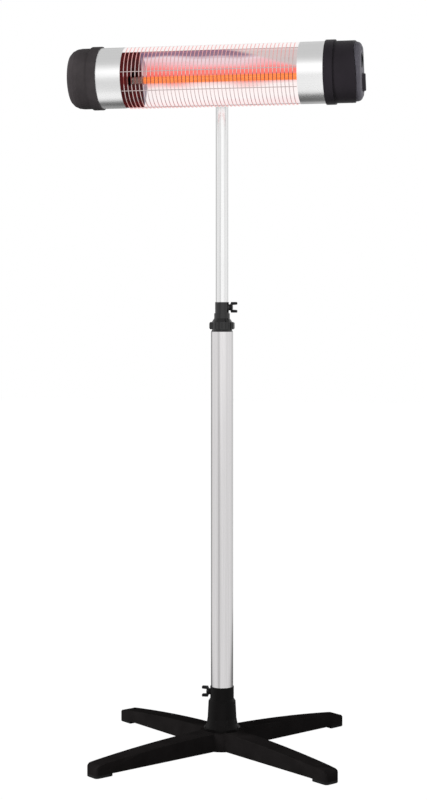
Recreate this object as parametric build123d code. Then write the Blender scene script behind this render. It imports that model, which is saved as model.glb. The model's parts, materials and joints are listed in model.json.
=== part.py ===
from build123d import *
import os
from math import atan2, cos, degrees, pi, radians, sin, sqrt

# Floor-standing infrared patio heater: a radiant head on a telescopic pole with a cross base.
# Millimetres. Z is up, the floor is Z = 0 and the pole stands on the Z axis.
# The head lies along X and faces -Y, tilted down.

# Clearances
RUNNING = 0.08          # radial, a shaft or screw that turns in its hole
SLIDING = 0.1           # radial, the pole tubes and their bushes
SEAT = 0.15             # radial, pieces that are assembled once and stay
AIR = 0.3               # between pieces that move past each other

# Heights that the rest hangs on
HEAD_HEIGHT = 1502.0    # of the head's centre above the floor
TUBE_TOP_DROP = 2.0     # the inner tube's top below the head's centre

# Pole tubes
OUTER_TUBE_R = 25.0
OUTER_TUBE_WALL = 1.5
OUTER_TUBE_TOP = 942.0
INNER_TUBE_R = 14.0
INNER_TUBE_WALL = 1.5
INNER_TUBE_TOP = HEAD_HEIGHT - TUBE_TOP_DROP
INNER_TUBE_LENGTH = 900.0

# Cross base
BASE_TURN = 6.0         # degrees, the stand is turned a little against the head
ARM_REACH = 362.0
ARM_ROOT_WIDTH = 47.0
ARM_TIP_WIDTH = 38.5
ARM_TIP_CORNER_R = 9.0
ARM_ROOT_TOP = 47.0
ARM_TIP_TOP = 27.0
ARM_EDGE = 1.5          # chamfer along the arms' top edges
ARM_WALL = 3.0
BOSS_R = 49.0
RIB_THICKNESS = 2.4
RIB_RISE = 5.0          # how far the ribs stay above the open underside
RIB_RADII = (90.0, 150.0, 210.0, 270.0)
BOLT_BOSS_R = 17.0
PAD_HEIGHT = 6.0
PAD_LENGTH = 42.5
PAD_PLUG_HEIGHT = 5.0
PAD_EDGE = 1.2

# Pole socket on the base
SOCKET_FLANGE_R = 41.0
SOCKET_FLANGE_THICKNESS = 5.0
SOCKET_SKIRT_R = 39.0
SOCKET_FLARE_R = 34.6
SOCKET_FLARE_Z = 61.0
SOCKET_WAIST_R = 32.5
SOCKET_WAIST_Z = 73.0
SOCKET_SHOULDER_R = 30.5
SOCKET_SHOULDER_Z = 110.5
SOCKET_RING_R = 26.6
SOCKET_RING_Z = 116.5
SOCKET_TOP = 143.0
SOCKET_FLOOR_TOP = 62.0
SOCKET_FLOOR_THICKNESS = 8.0
SOCKET_RECESS_R = 29.0
SCALLOP_COUNT = 8
SCALLOP_R = 9.0
SCALLOP_DEPTH = 1.3
CENTRE_BOLT_R = 5.0
CENTRE_BOLT_HEAD_R = 8.5
CENTRE_BOLT_HEAD = 6.4
CENTRE_BOLT_REACH = 20.0
CLAMP_PLATE_R = 13.0
CLAMP_PLATE_THICKNESS = 2.5
TUBE_PLUG_HEIGHT = 30.0

# Wing screws that clamp the pole
SCREW_R = 3.0
SCREW_COLLAR_R = 5.5
SCREW_WEB = 5.5
WING_REACH = 16.0
WING_HALF_SPAN = 12.0
WING_GAP_HALF = 5.2
WING_THICKNESS = 6.5
WING_TIP_R = 1.8
SCREW_BOSS_R = 7.0
LOWER_SCREW_Z = 130.0
LOWER_BOSS_X = 29.5
UPPER_SCREW_Z = 997.0
UPPER_BOSS_X = 18.4

# Height collar
COLLAR_PLUG_LENGTH = 40.0
COLLAR_RIM_R = 24.5
COLLAR_RIM_TOP_R = 22.5
COLLAR_RIM_HEIGHT = 5.0
COLLAR_NECK_R = 18.0
NUT_HEIGHT = 16.6
NUT_R = 22.6
NUT_RIB_COUNT = 16
NUT_RIB_R = 1.3
NUT_LUG_R = 28.0
NUT_LUG_WIDTH = 13.0
NUT_LUG_CHAMFER = 2.5
CAP_CONE_R = 23.0
CAP_CONE_HEIGHT = 8.0
CAP_LOWER_RING_R = 17.7
CAP_LOWER_RING_HEIGHT = 11.4
CAP_UPPER_RING_R = 15.6
CAP_UPPER_RING_HEIGHT = 25.0
CAP_SEAT_DEPTH = 3.5

# Guide on the lower end of the inner tube
GUIDE_LENGTH = 40.0
RETAINER_HEIGHT = 6.0
RETAINER_R = 17.0
END_FLANGE = 4.0
END_PLUG_LENGTH = 25.0

# Pole head and tilt hinge
POLE_HEAD_R = 17.0
POLE_HEAD_HEIGHT = 50.0
POLE_HEAD_PLUG = 40.0
POLE_HEAD_EDGE = 3.0
HINGE_NOSE_R = 12.0
SPACER_THICKNESS = 3.0
SPACER_R = 11.0
TILT_BOLT_R = 4.0
TILT_BOLT_HEAD_R = 7.5
TILT_BOLT_HEAD = 5.0
WASHER_R = 8.5
WASHER_THICKNESS = 1.6
TILT_KNOB_R = 15.0
TILT_KNOB_HEIGHT = 14.0
TILT_KNOB_HUB = 4.0
TILT_KNOB_LOBES = 6

# Head section, across its length
HEAD_TILT = 21.0        # degrees, the front turned down
HEAD_OFFSET = 110.0     # from the pole axis forward to the head's centre
HEAD_HALF_HEIGHT = 67.0
HEAD_BULGE = 56.0
HEAD_BACK = 55.0
HEAD_BACK_HALF = 54.0
HEAD_CORNER_R = 18.0
HOUSING_HALF_LENGTH = 265.0
HOUSING_WALL = 1.8
END_BAND = 70.0         # plain housing between the window and the housing's end
WINDOW_HALF_LENGTH = HOUSING_HALF_LENGTH - END_BAND
WINDOW_ANGLE = 71.0     # degrees up and down round the bulge, to the window's edges

# Guard grille
WIRE = 1.8
WIRE_COUNT = 44
WIRE_STEPS = 10
WIRE_ANGLE = 75.0
WIRE_INSET = 2.2
LONG_WIRE_ANGLES = (-72.0, -12.0, 25.0, 72.0)
LONG_WIRE_OVERLAP = 12.0

# Lamp and reflector
LAMP_Y = 5.0
LAMP_Z = -5.0
LAMP_R = 7.5
LAMP_WALL = 1.2
LAMP_LEFT_INSET = 17.0  # from the window's end
LAMP_RIGHT_OVERRUN = 19.0
LAMP_LEFT = LAMP_LEFT_INSET - WINDOW_HALF_LENGTH
LAMP_RIGHT = WINDOW_HALF_LENGTH + LAMP_RIGHT_OVERRUN
FILAMENT_WIDTH = 7.0
FILAMENT_THICKNESS = 1.4
LAMP_CAP_LENGTH = 16.0
LAMP_CAP_GRIP = 5.0     # solid part of a lamp end inside the tube
LAMP_CAP_HALF = 6.0
FILAMENT_SLOT = 2.0
HOLDER_THICKNESS = 8.0
HOLDER_OFFSET = 4.0
HOLDER_HALF = 9.0
REFLECTOR_LEFT_INSET = 38.0
REFLECTOR_RIGHT_OVERRUN = 5.0
REFLECTOR_LEFT = REFLECTOR_LEFT_INSET - WINDOW_HALF_LENGTH
REFLECTOR_RIGHT = WINDOW_HALF_LENGTH + REFLECTOR_RIGHT_OVERRUN
REFLECTOR_SHEET = 0.8
REFLECTOR_EDGE_Y = -4.0
REFLECTOR_MOUTH_HALF = 60.0
REFLECTOR_BACK = 40.0
REFLECTOR_FLOOR_HALF = 14.0
REFLECTOR_LIP_GAP = 0.5
REFLECTOR_BENDS = (0.0, 0.42, 0.78, 1.0)
LAMP_HOLE_GAP = 3.0
SHIELD_GAP = 4.0
SHIELD_HALF = 34.0
SHIELD_STRIP_Z = 12.0
CUTOUT_HALF = 10.0

# End caps
RIM_LAP = 14.0          # how far a cap's rim reaches over the housing
RIM_HALF_LENGTH = HOUSING_HALF_LENGTH - RIM_LAP
RIM_WIDTH = 20.0
RIM_PROUD = 3.0
CAP_WALL = 2.5
LEFT_CAP_REACH = 55.0   # past the housing's end
RIGHT_CAP_REACH = 56.5
LEFT_CAP_END = HOUSING_HALF_LENGTH + LEFT_CAP_REACH
RIGHT_CAP_END = HOUSING_HALF_LENGTH + RIGHT_CAP_REACH
RIGHT_CAP_ARC_R = 260.0
CAP_ROUND_DEPTH = 26.0  # the left cap's rounded end, along X
CAP_ROUND_SHRINK = 18.0  # and across
PANEL_ROUND_DEPTH = 11.0
PANEL_ROUND_SHRINK = 14.0
ROUND_STEPS = 4
CAP_SCREW_INSET = 10.0  # from the rim's inner edge
CAP_SCREW_X = RIM_HALF_LENGTH + CAP_SCREW_INSET
CAP_SCREW_Z = 28.0
CAP_SCREW_R = 1.8
CAP_SCREW_HEAD_R = 3.3
CAP_SCREW_HEAD = 1.8
PANEL_INSET = 3.0
PANEL_SEAM = 0.6
PANEL_BULGE = 8.1
PANEL_END = RIGHT_CAP_END + PANEL_BULGE
PANEL_SHELL_DEPTH = 20.0
PANEL_OPENING_INSET = 9.0
PANEL_PLUG_DEPTH = 5.0
PANEL_OPENING_DEPTH = 9.0

# Cable gland
GLAND_R = 8.0
GLAND_FLANGE_R = 11.0
GLAND_FLANGE = 4.0
GLAND_NUT = 5.0
GLAND_BORE_R = 4.0

# Controls on the right cap
CONTROL_Y = 4.0
KNOB_Z = -22.0
KNOB_R = 19.0
KNOB_RECESS_GAP = 2.0
KNOB_RECESS_DEPTH = 5.0
KNOB_DISC = 4.0
KNOB_GRIP_WIDTH = 7.0
KNOB_GRIP_HEIGHT = 7.0
KNOB_GRIP_EDGE = 1.2
KNOB_SHAFT_R = 3.0
ROCKER_Z = 27.0
ROCKER_LENGTH = 23.0
ROCKER_WIDTH = 13.0
ROCKER_FRAME = 3.0
ROCKER_FRAME_PROUD = 1.2
ROCKER_ANGLE = 7.0
ROCKER_R = 42.0
ROCKER_PIVOT_DEPTH = 3.0
SWITCH_DEPTH = 20.0
SWITCH_HALF = 16.0
TAB_HALF = 2.4
TAB_THICKNESS = 0.8
TAB_LENGTH = 6.0
ROCKER_WELL = 9.0
PANEL_SCREW_Z = 51.0
PANEL_SCREW_R = 2.0
PANEL_SCREW_HEAD_R = 3.6
PANEL_SCREW_HEAD = 2.2
PANEL_SCREW_SINK = 6.0  # depth of the holes that hide the heads
PANEL_SCREW_BITE = 6.0
PANEL_BOSS_HALF = 6.0
PANEL_BOSS_LENGTH = 20.0

# Rear bracket
BRACKET_HALF_WIDTH = 55.0
BRACKET_HALF_HEIGHT = 25.0
BRACKET_SHEET = 3.0
BRACKET_REACH = 24.0
BRACKET_SCREW_X = 42.0
BRACKET_SCREW_Z = 15.0
BRACKET_SCREW_R = 2.5
BRACKET_SCREW_HEAD_R = 4.75
BRACKET_SCREW_HEAD = 2.8
BACKING_SHEET = 2.5

# Values that follow from the sizes above
OUTER_BORE_R = OUTER_TUBE_R - OUTER_TUBE_WALL
INNER_BORE_R = INNER_TUBE_R - INNER_TUBE_WALL
GUIDE_BORE_R = INNER_TUBE_R + SLIDING
INNER_TUBE_BOTTOM = INNER_TUBE_TOP - INNER_TUBE_LENGTH
COLLAR_RIM_TOP = OUTER_TUBE_TOP + COLLAR_RIM_HEIGHT
NUT_BOTTOM = COLLAR_RIM_TOP + AIR
NUT_TOP = NUT_BOTTOM + NUT_HEIGHT
CAP_BOTTOM = NUT_TOP + AIR
CAP_CONE_TOP = CAP_BOTTOM + CAP_CONE_HEIGHT
CAP_LOWER_RING_TOP = CAP_CONE_TOP + CAP_LOWER_RING_HEIGHT
CAP_TOP = CAP_LOWER_RING_TOP + CAP_UPPER_RING_HEIGHT
SOCKET_BOTTOM = ARM_ROOT_TOP
EAR_INNER_X = POLE_HEAD_R + SPACER_THICKNESS + SEAT
EAR_OUTER_X = EAR_INNER_X + BRACKET_SHEET
PIVOT_Y = HEAD_BACK + BRACKET_REACH
BULGE_CENTRE = HEAD_HALF_HEIGHT - HEAD_BULGE
HEAD_PLACE = Pos(0, -HEAD_OFFSET, HEAD_HEIGHT) * Rot(HEAD_TILT, 0, 0)
PANEL_FACE = PANEL_END - KNOB_RECESS_DEPTH

MADE = {}


def keep(name, shape):
    """Store one sub-part under its node name."""
    MADE[name] = shape


def keep_head(name, shape):
    """Store a sub-part that was drawn in the head's own upright frame."""
    MADE[name] = HEAD_PLACE * shape


def block(x, y, z):
    """Box between two limits on each axis."""
    size = [b - a for a, b in (x, y, z)]
    middle = [(a + b) / 2 for a, b in (x, y, z)]
    return Pos(*middle) * Box(*size)


def post(radius, bottom, top, x=0.0, y=0.0):
    """Upright round bar."""
    return Pos(x, y, (bottom + top) / 2) * Cylinder(radius, top - bottom)


def ring(outer, inner, bottom, top):
    """Upright tube on the pole axis."""
    return post(outer, bottom, top) - post(inner, bottom, top)


def bar_x(radius, start, end, y=0.0, z=0.0):
    """Round bar along X."""
    return Pos((start + end) / 2, y, z) * Rot(0, 90, 0) * Cylinder(radius, end - start)


def bar_y(radius, start, end, x=0.0, z=0.0):
    """Round bar along Y."""
    return Pos(x, (start + end) / 2, z) * Rot(90, 0, 0) * Cylinder(radius, end - start)


def turned(points):
    """Solid of revolution about the pole axis from (radius, height) corners."""
    face = Plane.XZ * Polygon(*points, align=None)
    return revolve(face, Axis.Z)


def together(shapes):
    """Group of separate solids for one node."""
    solids = []
    for shape in shapes:
        solids.extend(shape.solids())
    return Compound(solids)


# Cross base


def arm_plan(inset, bottom, top):
    """Outline of two opposite arms seen from above, as a slab."""
    reach = ARM_REACH - inset
    root = ARM_ROOT_WIDTH / 2 - inset
    tip = ARM_TIP_WIDTH / 2 - inset
    outline = Polygon((-reach, -tip), (0, -root), (reach, -tip),
                      (reach, tip), (0, root), (-reach, tip), align=None)
    ends = outline.vertices().group_by(Axis.X)
    outline = fillet(ends[0] + ends[-1], ARM_TIP_CORNER_R - inset)
    return Pos(0, 0, bottom) * extrude(outline, amount=top - bottom)


def arm_side(inset, bottom):
    """Arched side view of two opposite arms, as a wide slab."""
    reach = ARM_REACH + 1
    crown = ThreePointArc((-reach, ARM_TIP_TOP - inset), (0, ARM_ROOT_TOP - inset),
                          (reach, ARM_TIP_TOP - inset))
    under = Polyline((reach, ARM_TIP_TOP - inset), (reach, bottom),
                     (-reach, bottom), (-reach, ARM_TIP_TOP - inset))
    return extrude(Plane.XZ * make_face([crown, under]), amount=ARM_ROOT_WIDTH, both=True)


def arm_pair(inset, bottom):
    """Two opposite arms, or with an inset the hollow inside them."""
    return arm_plan(inset, bottom - 1, ARM_ROOT_TOP + 1) & arm_side(inset, bottom)


def base_cross():
    """Four hollow arms round a centre boss, open and ribbed underneath."""
    boss_top = ARM_ROOT_TOP - 1.0
    arms = arm_pair(0, PAD_HEIGHT)
    arms = chamfer(arms.faces().sort_by(Axis.Z)[-1].edges(), ARM_EDGE)
    shell = arms + Rot(0, 0, 90) * arms
    shell += post(BOSS_R, PAD_HEIGHT, boss_top)
    hollow_arms = arm_pair(ARM_WALL, 0)
    hollow = hollow_arms + Rot(0, 0, 90) * hollow_arms
    hollow += post(BOSS_R - ARM_WALL, 0, boss_top - ARM_WALL)
    for radius in RIB_RADII:
        for turn in range(4):
            rib = block((radius, radius + RIB_THICKNESS), (-ARM_ROOT_WIDTH, ARM_ROOT_WIDTH),
                        (PAD_HEIGHT + RIB_RISE, ARM_ROOT_TOP))
            hollow -= Rot(0, 0, 90 * turn) * rib
    ceiling = boss_top - ARM_WALL
    hollow -= post(BOLT_BOSS_R, PAD_HEIGHT + RIB_RISE, ARM_ROOT_TOP)
    cross = shell - hollow
    cross -= post(CLAMP_PLATE_R + SEAT, 0, ceiling)
    cross -= post(CENTRE_BOLT_R + SEAT, 0, ARM_ROOT_TOP + 1)
    keep("base_cross", Rot(0, 0, BASE_TURN + 45) * cross)


def foot_pads():
    """A rubber pad under each arm's end, with a plug that fills the hollow arm."""
    start = ARM_REACH - PAD_LENGTH
    cut = block((start, ARM_REACH + 1), (-ARM_ROOT_WIDTH, ARM_ROOT_WIDTH), (-1, ARM_ROOT_TOP))
    tread = arm_plan(0, 0, PAD_HEIGHT) & cut
    tread = chamfer(tread.faces().sort_by(Axis.Z)[0].edges(), PAD_EDGE)
    plug = arm_plan(ARM_WALL + SEAT, PAD_HEIGHT, PAD_HEIGHT + PAD_PLUG_HEIGHT)
    plug &= Pos(ARM_WALL, 0, 0) * cut
    for corner in range(4):
        place = Rot(0, 0, BASE_TURN + 45 + 90 * corner)
        keep(f"foot_pad_{corner + 1}", place * (tread + plug))


# Pole socket and what holds the outer tube


def skirt_scallops():
    """Shallow flutes round the flared skirt."""
    low = (SOCKET_SKIRT_R, SOCKET_BOTTOM + SOCKET_FLANGE_THICKNESS)
    high = (SOCKET_WAIST_R, SOCKET_WAIST_Z)
    lean = degrees(atan2(low[0] - high[0], high[1] - low[1]))
    radius = (low[0] + high[0]) / 2 + SCALLOP_R - SCALLOP_DEPTH
    middle = (low[1] + high[1]) / 2
    length = high[1] - low[1]
    cut = Pos(radius, 0, middle + 1.5) * Rot(0, -lean, 0) * Cylinder(SCALLOP_R, length)
    step = 360 / SCALLOP_COUNT
    return [Rot(0, 0, BASE_TURN + step * (i + 0.5)) * cut for i in range(SCALLOP_COUNT)]


def pole_socket():
    """Moulded socket: flange on the boss, flared skirt, cone and clamp ring."""
    bore = OUTER_TUBE_R + SEAT
    flange_top = SOCKET_BOTTOM + SOCKET_FLANGE_THICKNESS
    floor_bottom = SOCKET_FLOOR_TOP - SOCKET_FLOOR_THICKNESS
    socket = turned([(SOCKET_RECESS_R, SOCKET_BOTTOM), (SOCKET_FLANGE_R, SOCKET_BOTTOM),
                     (SOCKET_FLANGE_R, flange_top), (SOCKET_SKIRT_R, flange_top),
                     (SOCKET_FLARE_R, SOCKET_FLARE_Z), (SOCKET_WAIST_R, SOCKET_WAIST_Z),
                     (SOCKET_SHOULDER_R, SOCKET_SHOULDER_Z), (SOCKET_RING_R, SOCKET_RING_Z),
                     (SOCKET_RING_R, SOCKET_TOP), (bore, SOCKET_TOP), (bore, SOCKET_FLOOR_TOP),
                     (CENTRE_BOLT_R + SEAT, SOCKET_FLOOR_TOP), (CENTRE_BOLT_R + SEAT, floor_bottom),
                     (SOCKET_RECESS_R, floor_bottom)])
    for cut in skirt_scallops():
        socket -= cut
    socket += bar_x(SCREW_BOSS_R, -LOWER_BOSS_X, -bore, z=LOWER_SCREW_Z) - post(bore, 0, SOCKET_TOP)
    socket -= bar_x(SCREW_R + RUNNING, -LOWER_BOSS_X - 1, -bore + 2, z=LOWER_SCREW_Z)
    keep("pole_socket", socket)


def base_fastening():
    """Clamp plate, centre bolt and the threaded plug in the outer tube."""
    ceiling = ARM_ROOT_TOP - 1.0 - ARM_WALL
    plate_bottom = ceiling - CLAMP_PLATE_THICKNESS
    keep("clamp_plate", ring(CLAMP_PLATE_R, CENTRE_BOLT_R + SEAT, plate_bottom, ceiling))
    head = Pos(0, 0, plate_bottom - CENTRE_BOLT_HEAD) * extrude(
        RegularPolygon(CENTRE_BOLT_HEAD_R, 6), amount=CENTRE_BOLT_HEAD)
    shank = post(CENTRE_BOLT_R, plate_bottom, SOCKET_FLOOR_TOP + CENTRE_BOLT_REACH)
    keep("centre_bolt", head + shank)
    plug = ring(OUTER_BORE_R - SEAT, CENTRE_BOLT_R + SEAT, SOCKET_FLOOR_TOP,
                SOCKET_FLOOR_TOP + TUBE_PLUG_HEIGHT)
    keep("tube_plug", plug)


def wing_screw(tip):
    """Wing screw along +X with its seat at X = 0 and its thread reaching back by tip."""
    splay = 0.8
    fork = Polygon((0, -SCREW_COLLAR_R), (SCREW_WEB / 2, -WING_HALF_SPAN), (WING_REACH, -WING_HALF_SPAN),
                   (WING_REACH, -WING_GAP_HALF - splay), (SCREW_WEB, -WING_GAP_HALF),
                   (SCREW_WEB, WING_GAP_HALF), (WING_REACH, WING_GAP_HALF + splay),
                   (WING_REACH, WING_HALF_SPAN), (SCREW_WEB / 2, WING_HALF_SPAN),
                   (0, SCREW_COLLAR_R), align=None)
    fork = fillet(fork.vertices().group_by(Axis.X)[-1], WING_TIP_R)
    wings = extrude(Plane.XZ * fork, amount=WING_THICKNESS / 2, both=True)
    return wings + bar_x(SCREW_COLLAR_R, 0, SCREW_WEB) + bar_x(SCREW_R, -tip, 0)


def wing_screws():
    """Lower screw on the left of the socket, upper screw on the right of the collar."""
    lower_tip = LOWER_BOSS_X + AIR - OUTER_TUBE_R - AIR
    lower = Pos(-LOWER_BOSS_X - AIR, 0, LOWER_SCREW_Z) * Rot(0, 0, 180) * wing_screw(lower_tip)
    keep("lower_wing_screw", lower)
    upper_tip = UPPER_BOSS_X + AIR - INNER_TUBE_R - AIR
    keep("upper_wing_screw", Pos(UPPER_BOSS_X + AIR, 0, UPPER_SCREW_Z) * wing_screw(upper_tip))


# Pole tubes and the height collar


def pole_tubes():
    """Outer and inner aluminium tubes."""
    keep("outer_tube", ring(OUTER_TUBE_R, OUTER_BORE_R, SOCKET_FLOOR_TOP, OUTER_TUBE_TOP))
    keep("inner_tube", ring(INNER_TUBE_R, INNER_BORE_R, INNER_TUBE_BOTTOM, INNER_TUBE_TOP))


def collar_sleeve():
    """Insert in the outer tube's mouth, with a flared rim and the neck for the lock nut."""
    plug_bottom = OUTER_TUBE_TOP - COLLAR_PLUG_LENGTH
    neck_top = CAP_BOTTOM + CAP_SEAT_DEPTH
    sleeve = turned([(GUIDE_BORE_R, plug_bottom), (OUTER_BORE_R - SEAT, plug_bottom),
                     (OUTER_BORE_R - SEAT, OUTER_TUBE_TOP), (COLLAR_RIM_R, OUTER_TUBE_TOP),
                     (COLLAR_RIM_TOP_R, COLLAR_RIM_TOP), (COLLAR_NECK_R, COLLAR_RIM_TOP),
                     (COLLAR_NECK_R, neck_top), (GUIDE_BORE_R, neck_top)])
    keep("collar_sleeve", sleeve)


def lock_nut():
    """Ribbed ring with two lugs that turns on the collar's neck."""
    nut = post(NUT_R, NUT_BOTTOM, NUT_TOP)
    for i in range(NUT_RIB_COUNT):
        angle = 2 * pi * (i + 0.5) / NUT_RIB_COUNT
        rib = post(NUT_RIB_R, NUT_BOTTOM + NUT_RIB_R, NUT_TOP - NUT_RIB_R)
        nut += Pos(NUT_R * cos(angle), NUT_R * sin(angle), 0) * rib
    half = NUT_LUG_WIDTH / 2
    lugs = block((-NUT_LUG_R, NUT_LUG_R), (-half, half), (NUT_BOTTOM, NUT_TOP))
    nut += chamfer(lugs.edges().filter_by(Axis.Y), NUT_LUG_CHAMFER)
    keep("lock_nut", nut - post(COLLAR_NECK_R + AIR, NUT_BOTTOM, NUT_TOP))


def clamp_cap():
    """Stepped cap on the neck that guides the inner tube and takes the upper wing screw."""
    seat_top = CAP_BOTTOM + CAP_SEAT_DEPTH + SEAT
    cap = turned([(COLLAR_NECK_R + SEAT, CAP_BOTTOM), (CAP_CONE_R, CAP_BOTTOM),
                  (CAP_LOWER_RING_R, CAP_CONE_TOP), (CAP_LOWER_RING_R, CAP_LOWER_RING_TOP),
                  (CAP_UPPER_RING_R, CAP_LOWER_RING_TOP), (CAP_UPPER_RING_R, CAP_TOP),
                  (GUIDE_BORE_R, CAP_TOP), (GUIDE_BORE_R, seat_top), (COLLAR_NECK_R + SEAT, seat_top)])
    boss = bar_x(SCREW_BOSS_R, INNER_TUBE_R, UPPER_BOSS_X, z=UPPER_SCREW_Z)
    cap += boss - post(GUIDE_BORE_R, CAP_BOTTOM, CAP_TOP)
    keep("clamp_cap", cap - bar_x(SCREW_R + RUNNING, GUIDE_BORE_R - 2, UPPER_BOSS_X + 1, z=UPPER_SCREW_Z))


def pole_guide():
    """Bush that slides in the outer tube, and what keeps it on the inner tube."""
    bottom = INNER_TUBE_BOTTOM
    top = bottom + GUIDE_LENGTH
    keep("pole_guide", ring(OUTER_BORE_R - SLIDING, GUIDE_BORE_R, bottom, top))
    keep("guide_retainer", ring(RETAINER_R, INNER_TUBE_R, top + AIR, top + AIR + RETAINER_HEIGHT))
    flange_top = bottom - AIR
    end = post(RETAINER_R, flange_top - END_FLANGE, flange_top)
    end += post(INNER_BORE_R - SEAT, flange_top, bottom + END_PLUG_LENGTH)
    keep("inner_end_plug", end + ring(INNER_TUBE_R, INNER_BORE_R - 2, flange_top, bottom))


# Tilt hinge between the pole and the head


def pivot_point():
    """Place of the tilt axis in the upright frame of the whole heater: (y, z)."""
    angle = radians(HEAD_TILT)
    return (PIVOT_Y * cos(angle) - HEAD_OFFSET, PIVOT_Y * sin(angle) + HEAD_HEIGHT)


def pole_head():
    """Casting in the inner tube's mouth with the hinge nose in front."""
    y, z = pivot_point()
    top = INNER_TUBE_TOP + POLE_HEAD_HEIGHT
    body = post(POLE_HEAD_R, INNER_TUBE_TOP, top)
    body = chamfer(body.edges().sort_by(Axis.Z)[-1], POLE_HEAD_EDGE)
    nose = block((-POLE_HEAD_R, POLE_HEAD_R), (y, 0), (z - HINGE_NOSE_R, z + HINGE_NOSE_R))
    nose += bar_x(HINGE_NOSE_R, -POLE_HEAD_R, POLE_HEAD_R, y, z)
    body += nose
    body += post(INNER_BORE_R - SEAT, INNER_TUBE_TOP - POLE_HEAD_PLUG, INNER_TUBE_TOP)
    keep("pole_head", body - bar_x(TILT_BOLT_R + SEAT, -POLE_HEAD_R - 1, POLE_HEAD_R + 1, y, z))


def tilt_fasteners():
    """Bolt, spacers and washers of the tilt hinge."""
    y, z = pivot_point()
    hole = TILT_BOLT_R + RUNNING
    spacers = []
    washers = []
    for side in (-1, 1):
        start, end = sorted((side * POLE_HEAD_R, side * (POLE_HEAD_R + SPACER_THICKNESS)))
        spacers.append(bar_x(SPACER_R, start, end, y, z) - bar_x(hole, start, end, y, z))
        outer = EAR_OUTER_X + SEAT
        start, end = sorted((side * outer, side * (outer + WASHER_THICKNESS)))
        washers.append(bar_x(WASHER_R, start, end, y, z) - bar_x(hole, start, end, y, z))
    keep("hinge_spacers", together(spacers))
    keep("hinge_washers", together(washers))
    seat = EAR_OUTER_X + SEAT + WASHER_THICKNESS
    head = Pos(-seat - TILT_BOLT_HEAD, y, z) * Rot(0, 90, 0) * extrude(
        RegularPolygon(TILT_BOLT_HEAD_R, 6), amount=TILT_BOLT_HEAD)
    keep("tilt_bolt", head + bar_x(TILT_BOLT_R, -seat, seat + TILT_KNOB_HEIGHT - 2, y, z))


def tilt_knob():
    """Lobed hand knob on the end of the tilt bolt."""
    y, z = pivot_point()
    start = EAR_OUTER_X + SEAT + WASHER_THICKNESS + AIR
    end = start + TILT_KNOB_HEIGHT
    lobe_r = TILT_KNOB_R / 3
    grip = bar_x(TILT_KNOB_R - lobe_r, start + TILT_KNOB_HUB, end)
    for i in range(TILT_KNOB_LOBES):
        angle = 2 * pi * i / TILT_KNOB_LOBES
        offset = TILT_KNOB_R - lobe_r
        grip += bar_x(lobe_r, start + TILT_KNOB_HUB, end, offset * cos(angle), offset * sin(angle))
    knob = grip + bar_x(TILT_BOLT_HEAD_R, start, start + TILT_KNOB_HUB + 1)
    knob -= bar_x(TILT_BOLT_R + RUNNING, start, end - 1.5)
    keep("tilt_knob", Pos(0, y, z) * knob)


def head_bracket():
    """Folded rear bracket with two ears, its screws and the backing plate inside."""
    back = HEAD_BACK + BRACKET_SHEET
    plate = block((-BRACKET_HALF_WIDTH, BRACKET_HALF_WIDTH), (HEAD_BACK, back),
                  (-BRACKET_HALF_HEIGHT, BRACKET_HALF_HEIGHT))
    plate = fillet(plate.edges().filter_by(Axis.Y), 6)
    for side in (-1, 1):
        start, end = sorted((side * EAR_INNER_X, side * EAR_OUTER_X))
        ear = block((start, end), (HEAD_BACK, PIVOT_Y), (-HINGE_NOSE_R, HINGE_NOSE_R))
        ear += bar_x(HINGE_NOSE_R, start, end, PIVOT_Y)
        plate += ear - bar_x(TILT_BOLT_R + RUNNING, start, end, PIVOT_Y)
    holes = [(x, z) for x in (-BRACKET_SCREW_X, BRACKET_SCREW_X) for z in (-BRACKET_SCREW_Z, BRACKET_SCREW_Z)]
    inner = HEAD_BACK - HOUSING_WALL
    backing = block((-BRACKET_HALF_WIDTH, BRACKET_HALF_WIDTH), (inner - BACKING_SHEET, inner),
                    (-BRACKET_HALF_HEIGHT + 3, BRACKET_HALF_HEIGHT - 3))
    screws = []
    for x, z in holes:
        hole = bar_y(BRACKET_SCREW_R + SEAT, 0, back + 1, x, z)
        plate -= hole
        backing -= hole
        shank = bar_y(BRACKET_SCREW_R, inner - BACKING_SHEET - 1, back, x, z)
        screws.append(shank + bar_y(BRACKET_SCREW_HEAD_R, back, back + BRACKET_SCREW_HEAD, x, z))
    keep_head("head_bracket", plate)
    keep_head("backing_plate", backing)
    keep_head("bracket_screws", together(screws))
    return holes


# Head housing and end caps


def section(inset=0.0):
    """Outline across the head: half-round front, curved sides, flat back with round corners."""
    half = HEAD_HALF_HEIGHT - inset
    back = HEAD_BACK - inset
    back_half = HEAD_BACK_HALF - inset
    front = CenterArc((BULGE_CENTRE, 0), half, 90, 180)
    lower = TangentArc((BULGE_CENTRE, -half), (back, -back_half), tangent=(1, 0))
    rear = Line((back, -back_half), (back, back_half))
    upper = TangentArc((BULGE_CENTRE, half), (back, back_half), tangent=(1, 0))
    face = make_face([front, lower, rear, upper])
    corners = face.vertices().group_by(Axis.X)[-1]
    return Plane.YZ * fillet(corners, max(HEAD_CORNER_R - inset, 3.0))


def head_bar(start, end, inset=0.0):
    """The head's section as a bar along X."""
    return Pos(start, 0, 0) * extrude(section(inset), amount=end - start, dir=(1, 0, 0))


def dome(start, end, depth, shrink, inset=0.0):
    """Head section from start to end along X, drawn in over an elliptical round before the end."""
    side = 1 if end > start else -1
    stations = [(start, inset)]
    for i in range(ROUND_STEPS + 1):
        angle = pi / 2 * i / ROUND_STEPS
        stations.append((end - side * depth * (1 - sin(angle)), inset + shrink * (1 - cos(angle))))
    return loft([Pos(x, 0, 0) * section(inset) for x, inset in stations], ruled=True)


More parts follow.
